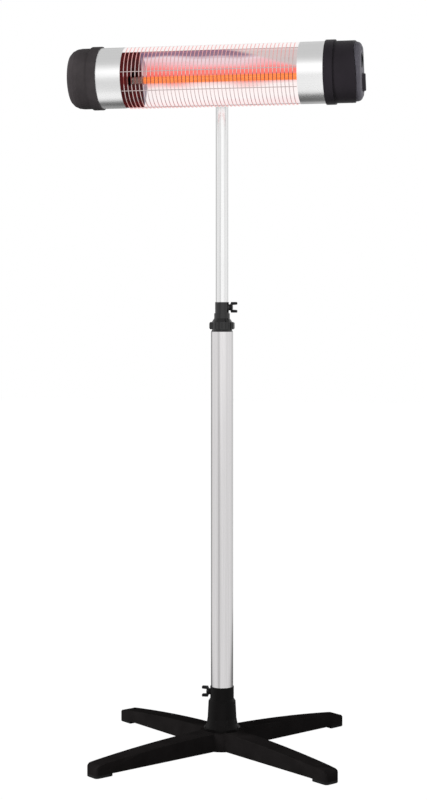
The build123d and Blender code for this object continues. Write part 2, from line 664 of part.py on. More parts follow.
def housing(holes):
    """Closed aluminium profile with the window cut through its bulge."""
    length = HOUSING_HALF_LENGTH
    shell = head_bar(-length, length) - head_bar(-length, length, HOUSING_WALL)
    window_y = arc_point(WINDOW_ANGLE, 0)[0]
    window = block((-WINDOW_HALF_LENGTH, WINDOW_HALF_LENGTH), (-HEAD_BULGE - 1, window_y),
                   (-HEAD_HALF_HEIGHT, HEAD_HALF_HEIGHT))
    shell -= window
    for x, z in holes:
        shell -= bar_y(BRACKET_SCREW_R + SEAT, HEAD_BACK / 2, HEAD_BACK + 1, x, z)
    for x, z in cap_screw_places():
        shell -= bar_y(CAP_SCREW_R + SEAT, HEAD_BACK / 2, HEAD_BACK + 1, x, z)
    keep_head("housing", shell)


def cap_rim(side):
    """Raised rim of an end cap, which slips over the housing's end."""
    start, end = sorted((side * RIM_HALF_LENGTH, side * (RIM_HALF_LENGTH + RIM_WIDTH)))
    return head_bar(start, end, -RIM_PROUD)


def cap_bore(side):
    """Space inside an end cap's rim for the housing."""
    start, end = sorted((side * (RIM_HALF_LENGTH - 1), side * (HOUSING_HALF_LENGTH + SEAT)))
    return head_bar(start, end, -SEAT)


def cap_screw_places():
    """Places of the screws through both caps' rims, at the back: (x, z)."""
    return [(x, z) for x in (-CAP_SCREW_X, CAP_SCREW_X) for z in (-CAP_SCREW_Z, CAP_SCREW_Z)]


def cap_screws():
    """Screws that hold the end caps on the housing."""
    inner = HEAD_BACK - HOUSING_WALL - 2
    outer = HEAD_BACK + RIM_PROUD
    screws = []
    for x, z in cap_screw_places():
        shank = bar_y(CAP_SCREW_R, inner, outer, x, z)
        screws.append(shank + bar_y(CAP_SCREW_HEAD_R, outer, outer + CAP_SCREW_HEAD, x, z))
    keep_head("cap_screws", together(screws))


def cap_screw_holes():
    """Holes for those screws through the rims."""
    holes = [bar_y(CAP_SCREW_R + SEAT, HEAD_BACK / 2, HEAD_BACK + 10, x, z) for x, z in cap_screw_places()]
    return together(holes)


def left_cap():
    """Moulded left end cap with a rounded end."""
    start = -RIM_HALF_LENGTH - RIM_WIDTH
    outside = dome(start, -LEFT_CAP_END, CAP_ROUND_DEPTH, CAP_ROUND_SHRINK)
    inside = dome(-HOUSING_HALF_LENGTH, CAP_WALL - LEFT_CAP_END, CAP_ROUND_DEPTH, CAP_ROUND_SHRINK, CAP_WALL)
    keep_head("left_cap", outside + cap_rim(-1) - cap_bore(-1) - inside - cap_screw_holes())


def end_curve(reach):
    """Large barrel whose side bows the right cap's end outwards, along Y."""
    barrel = Cylinder(RIGHT_CAP_ARC_R, 3 * HEAD_HALF_HEIGHT)
    return Pos(reach - RIGHT_CAP_ARC_R, 0, 0) * Rot(90, 0, 0) * barrel


def right_cap():
    """Moulded right end cap, open at its bowed end for the control panel."""
    start = RIM_HALF_LENGTH + RIM_WIDTH
    body = head_bar(start - 1, RIGHT_CAP_END) & end_curve(RIGHT_CAP_END)
    opening_start = RIGHT_CAP_END - PANEL_OPENING_DEPTH
    inside = head_bar(HOUSING_HALF_LENGTH - 1, opening_start, CAP_WALL)
    inside += head_bar(opening_start - 1, RIGHT_CAP_END + 1, PANEL_OPENING_INSET)
    cap = body + cap_rim(1) - cap_bore(1) - inside - cap_screw_holes()
    boss_end = RIGHT_CAP_END - PANEL_PLUG_DEPTH
    for z in (-PANEL_SCREW_Z, PANEL_SCREW_Z):
        edge = z * (HEAD_HALF_HEIGHT - 2) / PANEL_SCREW_Z
        low, high = sorted((z * (1 - PANEL_BOSS_HALF / PANEL_SCREW_Z), edge))
        boss = block((boss_end - PANEL_BOSS_LENGTH, boss_end),
                     (CONTROL_Y - PANEL_BOSS_HALF, CONTROL_Y + PANEL_BOSS_HALF), (low, high))
        cap += boss & end_curve(RIGHT_CAP_END)
        cap -= bar_x(PANEL_SCREW_R, boss_end - PANEL_SCREW_BITE - 2, boss_end + 1, CONTROL_Y, z)
    gland_x = (start + opening_start) / 2
    cap -= bar_y(GLAND_R + SEAT, HEAD_BACK - CAP_WALL - 1, HEAD_BACK + 1, gland_x)
    keep_head("right_cap", cap)
    return gland_x


def cable_gland(x):
    """Screwed gland in the back of the right cap, and its nut inside."""
    inner = HEAD_BACK - CAP_WALL
    hexagon = RegularPolygon(GLAND_FLANGE_R, 6)
    flange = Pos(x, HEAD_BACK + GLAND_FLANGE, 0) * Rot(90, 0, 0) * extrude(hexagon, amount=GLAND_FLANGE)
    nut = Pos(x, inner, 0) * Rot(90, 0, 0) * extrude(hexagon, amount=GLAND_NUT)
    body = bar_y(GLAND_R, inner - GLAND_NUT - 2, HEAD_BACK, x) + flange + nut
    body += bar_y(GLAND_R - 1, HEAD_BACK + GLAND_FLANGE, HEAD_BACK + 2 * GLAND_FLANGE, x)
    keep_head("cable_gland", body - bar_y(GLAND_BORE_R, 0, HEAD_BACK + 3 * GLAND_FLANGE, x))


# Controls on the right cap


def control_panel():
    """Convex insert in the right cap's end with the places for both controls."""
    end = PANEL_END
    shell = dome(RIGHT_CAP_END - PANEL_SHELL_DEPTH, end, PANEL_ROUND_DEPTH, PANEL_ROUND_SHRINK, PANEL_INSET)
    shell -= end_curve(RIGHT_CAP_END + PANEL_SEAM)
    plug_start = RIGHT_CAP_END - PANEL_PLUG_DEPTH
    plug = head_bar(plug_start, RIGHT_CAP_END + PANEL_SEAM + 1, PANEL_OPENING_INSET + SEAT)
    panel = shell + plug
    panel -= bar_x(KNOB_R + KNOB_RECESS_GAP, PANEL_FACE, end + 1, CONTROL_Y, KNOB_Z)
    panel -= bar_x(KNOB_SHAFT_R + SEAT, plug_start - 1, end, CONTROL_Y, KNOB_Z)
    half = (ROCKER_LENGTH + ROCKER_FRAME) / 2
    wide = (ROCKER_WIDTH + ROCKER_FRAME) / 2
    panel -= block((plug_start - 1, end + 1), (CONTROL_Y - wide, CONTROL_Y + wide),
                   (ROCKER_Z - half, ROCKER_Z + half))
    seat = end - PANEL_SCREW_SINK
    screws = []
    for z in (-PANEL_SCREW_Z, PANEL_SCREW_Z):
        panel -= bar_x(PANEL_SCREW_R + SEAT, plug_start - 1, end + 1, CONTROL_Y, z)
        panel -= bar_x(PANEL_SCREW_HEAD_R + SEAT, seat, end + 1, CONTROL_Y, z)
        shank = bar_x(PANEL_SCREW_R, plug_start - PANEL_SCREW_BITE, seat, CONTROL_Y, z)
        screws.append(shank + bar_x(PANEL_SCREW_HEAD_R, seat, seat + PANEL_SCREW_HEAD, CONTROL_Y, z))
    keep_head("control_panel", panel)
    keep_head("panel_screws", together(screws))


def control_knob():
    """Rotary control: a disc with a raised grip bar, on the switch's shaft."""
    start = PANEL_FACE + AIR
    disc = bar_x(KNOB_R, start, start + KNOB_DISC)
    grip = block((start + KNOB_DISC, start + KNOB_DISC + KNOB_GRIP_HEIGHT),
                 (-KNOB_GRIP_WIDTH / 2, KNOB_GRIP_WIDTH / 2), (-KNOB_R, KNOB_R))
    grip &= bar_x(KNOB_R, start, start + KNOB_DISC + KNOB_GRIP_HEIGHT + 1)
    grip = chamfer(grip.faces().sort_by(Axis.X)[-1].edges(), KNOB_GRIP_EDGE)
    knob = disc + grip - bar_x(KNOB_SHAFT_R + SEAT, start - 1, start + KNOB_DISC)
    shaft = bar_x(KNOB_SHAFT_R, RIGHT_CAP_END - PANEL_PLUG_DEPTH - 4, start + KNOB_DISC - 0.5)
    place = Pos(0, CONTROL_Y, KNOB_Z)
    keep_head("control_knob", place * knob)
    keep_head("control_shaft", place * shaft)


def rotary_switch():
    """Switch body behind the knob, with six terminals."""
    front = RIGHT_CAP_END - PANEL_PLUG_DEPTH
    back = front - SWITCH_DEPTH
    body = block((back, front), (CONTROL_Y - SWITCH_HALF, CONTROL_Y + SWITCH_HALF),
                 (KNOB_Z - SWITCH_HALF, KNOB_Z + SWITCH_HALF))
    body -= bar_x(KNOB_SHAFT_R + RUNNING, front - TAB_LENGTH, front + 1, CONTROL_Y, KNOB_Z)
    for row in (-1, 1):
        y = CONTROL_Y + row * SWITCH_HALF / 2
        for column in (-1, 0, 1):
            z = KNOB_Z + column * SWITCH_HALF * 0.6
            body += block((back - TAB_LENGTH, back), (y - TAB_THICKNESS / 2, y + TAB_THICKNESS / 2),
                          (z - TAB_HALF, z + TAB_HALF))
    keep_head("rotary_switch", body)


def rocker():
    """Rocker switch: frame and body in the panel, and the rocker pressed to one side."""
    face = PANEL_END
    back = RIGHT_CAP_END - PANEL_PLUG_DEPTH - TAB_LENGTH
    length = ROCKER_LENGTH / 2
    width = ROCKER_WIDTH / 2
    frame = block((face, face + ROCKER_FRAME_PROUD), (-width - ROCKER_FRAME, width + ROCKER_FRAME),
                  (-length - ROCKER_FRAME, length + ROCKER_FRAME))
    neck = ROCKER_FRAME / 2 - SEAT
    frame += block((back, face), (-width - neck, width + neck), (-length - neck, length + neck))
    frame -= block((face - ROCKER_WELL, face + ROCKER_WELL), (-width - AIR, width + AIR),
                   (-length - AIR, length + AIR))
    keep_head("rocker_switch", Pos(0, CONTROL_Y, ROCKER_Z) * frame)
    crown = Pos(2 * ROCKER_PIVOT_DEPTH - ROCKER_R, 0, 0) * Rot(90, 0, 0) * Cylinder(ROCKER_R, ROCKER_WIDTH)
    button = block((-ROCKER_PIVOT_DEPTH, ROCKER_WELL), (-width, width), (AIR - length, length - AIR)) & crown
    pivot = face - ROCKER_PIVOT_DEPTH
    keep_head("rocker_button", Pos(pivot, CONTROL_Y, ROCKER_Z) * Rot(0, ROCKER_ANGLE, 0) * button)


# Lamp, reflector and grille


def reflector_points():
    """Half of the reflector's bends, from the mouth to the floor: (y, z)."""
    depth = REFLECTOR_BACK - REFLECTOR_EDGE_Y
    fall = REFLECTOR_MOUTH_HALF - REFLECTOR_FLOOR_HALF
    return [(REFLECTOR_EDGE_Y + depth * share, REFLECTOR_MOUTH_HALF - fall * share ** 2)
            for share in REFLECTOR_BENDS]


def reflector():
    """Bright folded trough behind the lamp, with lips that hang in the housing."""
    inner_half = sqrt((HEAD_HALF_HEIGHT - HOUSING_WALL) ** 2 - (REFLECTOR_EDGE_Y - BULGE_CENTRE) ** 2)
    lip = inner_half - REFLECTOR_LIP_GAP
    half = reflector_points()
    inner = half + [(y, -z) for y, z in reversed(half)]
    sheet = REFLECTOR_SHEET
    outer = [(y + sheet, z + sheet * 0.6) for y, z in half]
    outer = outer + [(y, -z) for y, z in reversed(outer)]
    start = [(REFLECTOR_EDGE_Y, lip)]
    start_back = [(REFLECTOR_EDGE_Y + sheet, lip)]
    end = [(y, -z) for y, z in start]
    end_back = [(y, -z) for y, z in start_back]
    loop = start + inner + end + end_back + list(reversed(outer)) + start_back
    face = Plane.YZ * Polygon(*loop, align=None)
    trough = Pos(REFLECTOR_LEFT, 0, 0) * extrude(face, amount=REFLECTOR_RIGHT - REFLECTOR_LEFT, dir=(1, 0, 0))
    keep_head("reflector", trough)
    plate = Plane.YZ * Polygon(*(inner + [(REFLECTOR_EDGE_Y, -REFLECTOR_MOUTH_HALF)]), align=None)
    hole = bar_x(LAMP_R + LAMP_HOLE_GAP, REFLECTOR_LEFT - 2, REFLECTOR_RIGHT + 2, LAMP_Y, LAMP_Z)
    for name, x in (("reflector_end_left", REFLECTOR_LEFT - sheet), ("reflector_end_right", REFLECTOR_RIGHT)):
        keep_head(name, Pos(x, 0, 0) * extrude(plate, amount=sheet, dir=(1, 0, 0)) - hole)


def heat_shield():
    """Sheet on two strips between the reflector and the housing's back."""
    y = REFLECTOR_BACK + SHIELD_GAP
    sheet = REFLECTOR_SHEET
    run = (REFLECTOR_LEFT, REFLECTOR_RIGHT)
    shield = block(run, (y, y + sheet), (-SHIELD_HALF, SHIELD_HALF))
    for z in (-SHIELD_STRIP_Z, SHIELD_STRIP_Z):
        shield += block(run, (REFLECTOR_BACK + sheet, y), (z - sheet, z + sheet))
    keep_head("heat_shield", shield)
    keep_head("thermal_cutout", block((-CUTOUT_HALF, CUTOUT_HALF), (REFLECTOR_BACK + sheet, y),
                                      (-CUTOUT_HALF / 2, CUTOUT_HALF / 2)))


def lamp():
    """Quartz tube with its flat filament, ceramic ends and holders."""
    bore = LAMP_R - LAMP_WALL
    tube = bar_x(LAMP_R, LAMP_LEFT, LAMP_RIGHT, LAMP_Y, LAMP_Z)
    keep_head("lamp_tube", tube - bar_x(bore, LAMP_LEFT - 1, LAMP_RIGHT + 1, LAMP_Y, LAMP_Z))
    run = (LAMP_LEFT + LAMP_CAP_GRIP, LAMP_RIGHT - LAMP_CAP_GRIP)
    keep_head("lamp_filament", Pos(0, LAMP_Y, LAMP_Z) * block(
        run, (-FILAMENT_WIDTH / 2, FILAMENT_WIDTH / 2), (-FILAMENT_THICKNESS / 2, FILAMENT_THICKNESS / 2)))
    caps = []
    holders = []
    for side, x in ((-1, LAMP_LEFT), (1, LAMP_RIGHT)):
        start, end = sorted((x, x + side * LAMP_CAP_LENGTH))
        cap = block((start, end), (-LAMP_CAP_HALF, LAMP_CAP_HALF), (-LAMP_CAP_HALF, LAMP_CAP_HALF))
        start, end = sorted((x, x - side * 2 * LAMP_CAP_GRIP))
        cap += bar_x(bore - SEAT, start, end)
        cap -= block(run, (-bore, bore), (-FILAMENT_SLOT / 2, FILAMENT_SLOT / 2))
        caps.append(Pos(0, LAMP_Y, LAMP_Z) * cap)
        near = x + side * HOLDER_OFFSET
        start, end = sorted((near, near + side * HOLDER_THICKNESS))
        holder = block((start, end), (LAMP_Y - HOLDER_HALF, HEAD_BACK - HOUSING_WALL),
                       (LAMP_Z - HOLDER_HALF, LAMP_Z + HOLDER_HALF))
        grip = LAMP_CAP_HALF + SEAT
        holders.append(holder - block((start, end), (LAMP_Y - grip, LAMP_Y + grip),
                                      (LAMP_Z - grip, LAMP_Z + grip)))
    keep_head("lamp_ends", together(caps))
    keep_head("lamp_holders", together(holders))


def arc_point(angle, inset):
    """Point (y, z) on the bulge at an angle above the head's axis."""
    a = radians(angle)
    radius = HEAD_HALF_HEIGHT - inset
    return (BULGE_CENTRE - radius * cos(a), radius * sin(a))


def grille():
    """Guard: curved wires across the window, welded over a few long wires."""
    inner_inset = WIRE_INSET + WIRE
    angles = [WIRE_ANGLE * (2 * i / WIRE_STEPS - 1) for i in range(WIRE_STEPS + 1)]
    outer = [arc_point(a, WIRE_INSET) for a in angles]
    inner = [arc_point(a, inner_inset) for a in reversed(angles)]
    wire = extrude(Plane.YZ * Polygon(*outer, *inner, align=None), amount=WIRE, dir=(1, 0, 0))
    pitch = 2 * WINDOW_HALF_LENGTH / (WIRE_COUNT + 1)
    first = pitch - WINDOW_HALF_LENGTH - WIRE / 2
    wires = [Pos(first + pitch * i, 0, 0) * wire for i in range(WIRE_COUNT)]
    reach = WINDOW_HALF_LENGTH + LONG_WIRE_OVERLAP
    for angle in LONG_WIRE_ANGLES:
        y, z = arc_point(angle, inner_inset + WIRE / 2)
        wires.append(Pos(0, y, z) * Rot(-angle, 0, 0) * Box(2 * reach, WIRE, WIRE))
    keep_head("grille", together(wires))


def build():
    """Make every sub-part."""
    base_cross()
    foot_pads()
    pole_socket()
    base_fastening()
    wing_screws()
    pole_tubes()
    collar_sleeve()
    lock_nut()
    clamp_cap()
    pole_guide()
    pole_head()
    tilt_fasteners()
    tilt_knob()
    holes = head_bracket()
    housing(holes)
    left_cap()
    gland_x = right_cap()
    cap_screws()
    cable_gland(gland_x)
    control_panel()
    control_knob()
    rotary_switch()
    rocker()
    reflector()
    heat_shield()
    lamp()
    grille()


build()
os.makedirs("parts", exist_ok=True)
for node, shape in MADE.items():
    export_step(shape, f"parts/{node}.step")
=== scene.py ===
import bpy
import bmesh
import json
from math import cos, pi, radians, sin, sqrt
from mathutils import Matrix, Vector


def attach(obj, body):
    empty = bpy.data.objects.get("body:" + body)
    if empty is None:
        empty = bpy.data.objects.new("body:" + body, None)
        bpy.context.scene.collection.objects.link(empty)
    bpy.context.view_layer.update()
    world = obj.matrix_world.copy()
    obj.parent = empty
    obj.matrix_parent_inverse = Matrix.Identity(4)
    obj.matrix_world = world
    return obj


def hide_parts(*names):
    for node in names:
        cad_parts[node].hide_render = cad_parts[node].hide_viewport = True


# Infrared patio heater on a telescopic stand. Metres, in the same frame as the CAD:
# Z up, the pole on the Z axis, the head along X with its front towards -Y.
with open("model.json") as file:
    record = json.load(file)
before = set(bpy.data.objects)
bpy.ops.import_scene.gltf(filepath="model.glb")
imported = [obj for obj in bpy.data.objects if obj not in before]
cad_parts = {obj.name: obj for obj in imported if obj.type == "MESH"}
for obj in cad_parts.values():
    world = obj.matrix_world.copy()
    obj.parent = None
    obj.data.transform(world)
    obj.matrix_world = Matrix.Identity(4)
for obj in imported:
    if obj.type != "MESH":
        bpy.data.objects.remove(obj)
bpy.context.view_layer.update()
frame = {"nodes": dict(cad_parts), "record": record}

# Photograph's camera
CAMERA_PLACE = (0.740, -3.742, 0.994)
CAMERA_TURN = radians(11.5)
CAMERA_SENSOR = 36.0        # height of the sensor and length of the lens, in millimetres
CAMERA_LENS = 76.12
CAMERA_SHIFT = (0.0009, -0.1142)

# Head frame: its centre, and how far its front is turned down
HEAD_CENTRE = Vector((0.0, -0.110, 1.502))
HEAD_TILT = radians(21.0)
HEAD_FRAME = Matrix.Translation(HEAD_CENTRE) @ Matrix.Rotation(HEAD_TILT, 4, "X")

# Base
ARM_COUNT = 4
ARM_REACH = 0.362
ARM_TURN = radians(51.0)    # from +X to the first arm
ARM_TIP_TOP = 0.027
ARM_CREASE = radians(28.0)  # edges bent more than this stay sharp
TIP_ROUND = 0.012
TIP_ROUND_BASE = 0.008      # height below which a tip keeps its shape
TIP_STEPS = 5
SAME_POINT = 0.00001        # corners closer than this are merged
ON_CUT = 0.000001           # corners closer than this to a cut lie on it

# Housing, in the head frame
FRONT_RADIUS = 0.067        # of the head's half-round front
FRONT_CENTRE_Y = 0.011
INSIDE_STEP = 0.0012        # from the front's radius in to where the inside's painted shade and red light start
INSIDE_BACK_Y = 0.054       # and where it ends, within the wall of the back
WINDOW_HALF = 0.195
LIP_Z = 0.0631              # from here out are the lips over and under the window, with pale painted light from the lamp
LIP_BACK_Y = 0.030

# Guard wires
WIRE_COUNT = 44
WIRE_RADIUS = 0.0009
WIRE_SIDES = 8
WIRE_POINTS = 25            # along each bent wire
WIRE_LIFT = 0.0008          # from the housing's face out to the bent wires' centre line
WIRE_ANGLE = radians(88.0)  # each bent wire runs so far up and down from straight ahead
WIRE_RED_LIGHT_Z = (0.035, 0.058)    # heights, up or down, over which painted red light from the lamp comes onto the wires
WIRE_SHADE_Z = 0.010        # middle of the wires' painted shade before the lamp
WIRE_SHADE_HALF = (0.006, 0.012)    # from that middle to where it starts and ends to clear
LONG_WIRE_LIFT = -0.0010
LONG_WIRE_HALF = 0.1935
LONG_WIRE_ANGLES = (-72.0, -12.0, 25.0, 72.0)

# Reflector
GLOW_HEIGHT = 0.12          # height of the trough, over which its painted glow changes
CORNER_SLOPE = 0.35         # the edge of the pale painted light in the corner falls so much for each metre to the right
CORNER_EDGE = (0.066, 0.078)    # heights of that edge, where the corner's painted light starts and is full

# Lamp
LAMP_Y = 0.005
LAMP_Z = -0.005
LAMP_LEFT = -0.160          # the coil's two ends
LAMP_RIGHT = 0.209
LAMP_FADE = 0.008           # length over which the glass turns from clear to lit
COIL_TURNS = 90
COIL_STEPS = 14             # points in each turn
COIL_SIDES = 5
COIL_RADIUS = 0.0042
COIL_WIRE = 0.0009

# Studio. A brightness of 1 is white
FLOOR_HALF = 14.0
FLOOR_WHITE = 0.92          # share of plain white in the floor; the rest takes the shadow
FLOOR_SEEN = 1.09           # brings that share up to white before the camera
FLOOR_SHADE_IN_METAL = 0.25           # painted shade of the mirrored floor behind the heater
FLOOR_BRIGHT = 1.0          # and farther out
FLOOR_SHADE_SPOT = (0.0, 0.85, 0.0)   # middle of that painted shade
FLOOR_SHADE_EDGE = (0.55, 1.30)  # radii where it starts and ends to brighten
SKY_IN_METAL = 0.60
SKY_EDGE = (0.35, 0.75)     # height of a direction where the sky starts and ends to darken
FRONT_IN_METAL = 1.25
FRONT_EDGE = (0.70, 0.88)   # how far a direction points to the camera where the front starts to be bright
EVEN_LIGHT = 0.16
# Each dark side is a compass direction, an outer and an inner half width, in degrees, and a brightness
DARK_SIDES = ((249.0, 15.0, 5.0, 0.66), (120.0, 44.0, 18.0, 0.34), (60.0, 30.0, 12.0, 0.80))

WHITE = (1.0, 1.0, 1.0)
BLACK = (0.0, 0.0, 0.0)
NOISE_RANGE = (0.3, 0.7)    # nearly all values of a noise lie in it


def grey(value):
    """Neutral colour."""
    return (value, value, value)


def shade(colour, factor):
    """Colour made lighter or darker."""
    return tuple(min(1.0, c * factor) for c in colour)


def stops_at(edge, first, second):
    """Colour ramp's stops for a change from one colour to another between two positions."""
    return [(edge[0], first), (edge[1], second)]


# Node writing


class NodeWriter:
    """Writes nodes into a tree, one a line."""

    def __init__(self, tree):
        self.nodes = tree.nodes
        self.link = tree.links.new

    def feed(self, target, value):
        """Give an input a socket, a plain colour or another value."""
        if isinstance(value, bpy.types.NodeSocket):
            self.link(value, target)
        elif target.type == "RGBA":
            target.default_value = (*value, 1.0)
        else:
            target.default_value = value

    def add(self, kind, settings=None, **values):
        """Add a node and return its outputs.

        Values feed its inputs. They are named for them, with _ for spaces, or are n0, n1 and n2."""
        node = self.nodes.new(kind)
        for key, value in (settings or {}).items():
            setattr(node, key, value)
        for key, value in values.items():
            numbered = key[0] == "n" and key[1:].isdigit()
            target = node.inputs[int(key[1:]) if numbered else key.replace("_", " ")]
            self.feed(target, value)
        return node.outputs

    def math(self, operation, a, b=0.0, c=0.0):
        """Arithmetic on sockets or numbers."""
        return self.add("ShaderNodeMath", {"operation": operation}, n0=a, n1=b, n2=c)[0]


class Shading(NodeWriter):
    """Shader nodes of a material or of the world."""

    def space(self, scale=(1, 1, 1), in_head=False):
        """Object coordinates, turned into the head frame if asked, and stretched."""
        place = self.add("ShaderNodeTexCoord")["Object"]
        if in_head:
            place = self.add("ShaderNodeMapping", {"vector_type": "TEXTURE"}, Vector=place,
                             Location=HEAD_CENTRE, Rotation=(HEAD_TILT, 0, 0))["Vector"]
        return self.add("ShaderNodeMapping", Vector=place, Scale=scale)["Vector"]

    def head_axes(self):
        """X, Y and Z in the head frame."""
        return self.add("ShaderNodeSeparateXYZ", Vector=self.space(in_head=True))

    def noise(self, place, scale=1.0, detail=4.0, rough=0.55):
        """Noise value over a coordinate."""
        return self.add("ShaderNodeTexNoise", Vector=place, Scale=scale, Detail=detail,
                        Roughness=rough)["Fac"]

    def ramp(self, value, stops):
        """Colour ramp with (position, colour) stops."""
        node = self.nodes.new("ShaderNodeValToRGB")
        elements = node.color_ramp.elements
        while len(elements) < len(stops):
            elements.new(0.5)
        for element, (position, colour) in zip(elements, stops):
            element.position = position
            element.color = (*colour, 1.0)
        self.link(value, node.inputs["Fac"])
        return node.outputs["Color"]

    def tinted(self, value, dark, light):
        """Noise value as a colour between two."""
        return self.ramp(value, stops_at(NOISE_RANGE, dark, light))

    def spread(self, value, low, high):
        """Noise value mapped to a range."""
        return self.add("ShaderNodeMapRange", Value=value, From_Min=NOISE_RANGE[0], From_Max=NOISE_RANGE[1],
                        To_Min=low, To_Max=high)["Result"]

    def between(self, value, low, high):
        """0 below low, 1 above high, and a soft rise between them."""
        return self.add("ShaderNodeMapRange", {"interpolation_type": "SMOOTHSTEP"},
                        Value=value, From_Min=low, From_Max=high)["Result"]

    def mixed(self, share, first, second, blend="MIX"):
        """Two colours mixed by a share."""
        settings = {"data_type": "RGBA", "blend_type": blend}
        return self.add("ShaderNodeMix", settings, Factor=share, A=first, B=second)["Result"]

    def multiplied(self, first, second):
        """Product of two colours."""
        return self.mixed(1.0, first, second, "MULTIPLY")

    def facing(self, direction, target):
        """How far a direction points to a target direction."""
        settings = {"operation": "DOT_PRODUCT"}
        return self.add("ShaderNodeVectorMath", settings, n0=direction, n1=target)["Value"]


class Finish(Shading):
    """A material and its main shader."""

    def __init__(self, name):
        self.material = bpy.data.materials.new(name)
        self.material.use_nodes = True
        super().__init__(self.material.node_tree)
        self.shader = self.nodes["Principled BSDF"]

    def set(self, **values):
        """Feed inputs of the main shader."""
        for key, value in values.items():
            self.feed(self.shader.inputs[key.replace("_", " ")], value)

    def relief(self, height, depth, strength):
        """Bumps of a real depth."""
        normal = self.add("ShaderNodeBump", Height=height, Distance=depth, Strength=strength)["Normal"]
        self.set(Normal=normal)

    def drawn(self, colour, roughness, stretch, vary=0.06, depth=0.00004, in_head=False):
        """Drawn, rolled or anodised metal, with fine lines along the axis of small stretch.

        Returns its colour."""
        lines = self.noise(self.space(stretch, in_head), detail=3.0, rough=0.6)
        cloud = self.noise(self.space(in_head=in_head), 9.0, 2.0)
        tint = self.tinted(lines, shade(colour, 1 - vary), shade(colour, 1 + vary))
        self.set(Base_Color=tint, Metallic=1.0,
                 Roughness=self.spread(cloud, roughness - 0.04, roughness + 0.05))
        self.relief(lines, depth, 0.5)
        return tint


# Materials


def moulded(name, colour, roughness, grain=900.0, depth=0.00012, vary=0.18, shine=0.18):
    """Moulded plastic or powder coat: fine leathery grain with cloudy changes in colour and gloss."""
    look = Finish(name)
    place = look.space()
    cloud = look.noise(place, 22.0, 3.0)
    look.set(Base_Color=look.tinted(cloud, shade(colour, 1 - vary), shade(colour, 1 + vary)),
             Roughness=look.spread(cloud, roughness - 0.05, roughness + 0.07),
             Specular_IOR_Level=shine)
    look.relief(look.noise(place, grain, 2.0), depth, 0.6)
    return look.material


def drawn_metal(name, *sizes, **more_sizes):
    """Bare drawn metal."""
    look = Finish(name)
    look.drawn(*sizes, **more_sizes)
    return look.material


def glowing(name, colour, roughness, stops, strength, corner=None):
    """Sheet with the lamp's light painted on it as a glow that follows the height in the head frame.

    The corner colour is a pale painted light that the upper part takes towards the right end."""
    look = Finish(name)
    axes = look.head_axes()
    streaks_and_highlights = look.noise(look.space((5, 90, 90), True))
    highlight_waves = look.noise(look.space((7, 22, 22), True), detail=1.0)
    level = look.math("MULTIPLY_ADD", axes["Z"], 1 / GLOW_HEIGHT, 0.5)
    # Noise shifts the painted glow up and down into painted highlight streaks and waves
    for value, depth in ((streaks_and_highlights, 0.10), (highlight_waves, 0.22)):
        offset = look.math("SUBTRACT", value, 0.5)
        level = look.math("MULTIPLY_ADD", offset, depth, level)
    glow = look.ramp(level, stops)
    # Pale painted light in the upper right corner of the trough
    if corner:
        slope = look.math("MULTIPLY_ADD", axes["X"], CORNER_SLOPE, axes["Z"])
        glow = look.mixed(look.between(slope, *CORNER_EDGE), glow, corner)
    look.set(Emission_Color=glow, Emission_Strength=strength,
             Base_Color=look.tinted(streaks_and_highlights, shade(colour, 0.9), shade(colour, 1.05)),
             Roughness=look.spread(streaks_and_highlights, roughness - 0.03, roughness + 0.05))
    return look.material


def housing_metal():
    """Anodised profile. Its inside is painted dark as shade, with the lamp's dark red light painted on it,
    and its lips have a pale painted light.
    """
    look = Finish("anodised_housing")
    tint = look.drawn(WHITE, 0.28, ALONG_HEAD, in_head=True)
    axes = look.head_axes()
    depth = look.math("SUBTRACT", axes["Y"], FRONT_CENTRE_Y)
    height_squared = look.math("MULTIPLY", axes["Z"], axes["Z"])
    radius = look.math("SQRT", look.math("MULTIPLY_ADD", depth, depth, height_squared))
    in_front = look.math("LESS_THAN", radius, FRONT_RADIUS - INSIDE_STEP)
    before_back = look.math("LESS_THAN", axes["Y"], INSIDE_BACK_Y)
    inside = look.math("MULTIPLY", in_front, before_back)
    at_edges = look.math("GREATER_THAN", look.math("ABSOLUTE", axes["Z"]), LIP_Z)
    at_window = look.math("LESS_THAN", look.math("ABSOLUTE", axes["X"]), WINDOW_HALF)
    ahead = look.math("LESS_THAN", axes["Y"], LIP_BACK_Y)
    lip = look.math("MULTIPLY", look.math("MULTIPLY", at_edges, at_window), ahead)
    # Pale painted light from the lamp on the lips
    spill = look.mixed(lip, BLACK, (0.62, 0.56, 0.56))
    cloud = look.noise(look.space((40, 40, 40), True), detail=2.0)
    # Dark red painted light from the lamp inside, in patches
    red = look.tinted(cloud, (0.030, 0.010, 0.010), (0.16, 0.016, 0.018))
    # The inside gets a dark colour that is not metal, as painted shade
    look.set(Emission_Color=look.mixed(inside, spill, red), Emission_Strength=0.6,
             Base_Color=look.mixed(inside, tint, (0.05, 0.02, 0.02)),
             Metallic=look.math("SUBTRACT", 1.0, inside))
    return look.material


def glass_tube():
    """Quartz lamp tube, clear at its left end and filled with orange light past the reflector's end."""
    look = Finish("glowing_quartz")
    cloud = look.noise(look.space((60, 400, 400), True), detail=3.0)
    orange = look.ramp(cloud, stops_at((0.35, 0.65), (1.0, 0.14, 0.010), (1.0, 0.26, 0.018)))
    lit = look.between(look.head_axes()["X"], LAMP_LEFT, LAMP_LEFT + LAMP_FADE)
    look.set(Emission_Color=look.mixed(lit, (0.10, 0.08, 0.08), orange), Emission_Strength=0.8,
             Base_Color=(0.35, 0.16, 0.10), Roughness=look.spread(cloud, 0.04, 0.12), Alpha=0.8)
    return look.material


def hot_coil():
    """Filament at its working heat."""
    look = Finish("hot_coil")
    cloud = look.noise(look.space((90, 200, 200), True), detail=2.0)
    look.set(Emission_Color=look.tinted(cloud, (1.0, 0.42, 0.04), (1.0, 0.70, 0.16)), Emission_Strength=1.3,
             Base_Color=(0.2, 0.1, 0.05), Roughness=0.5)
    return look.material


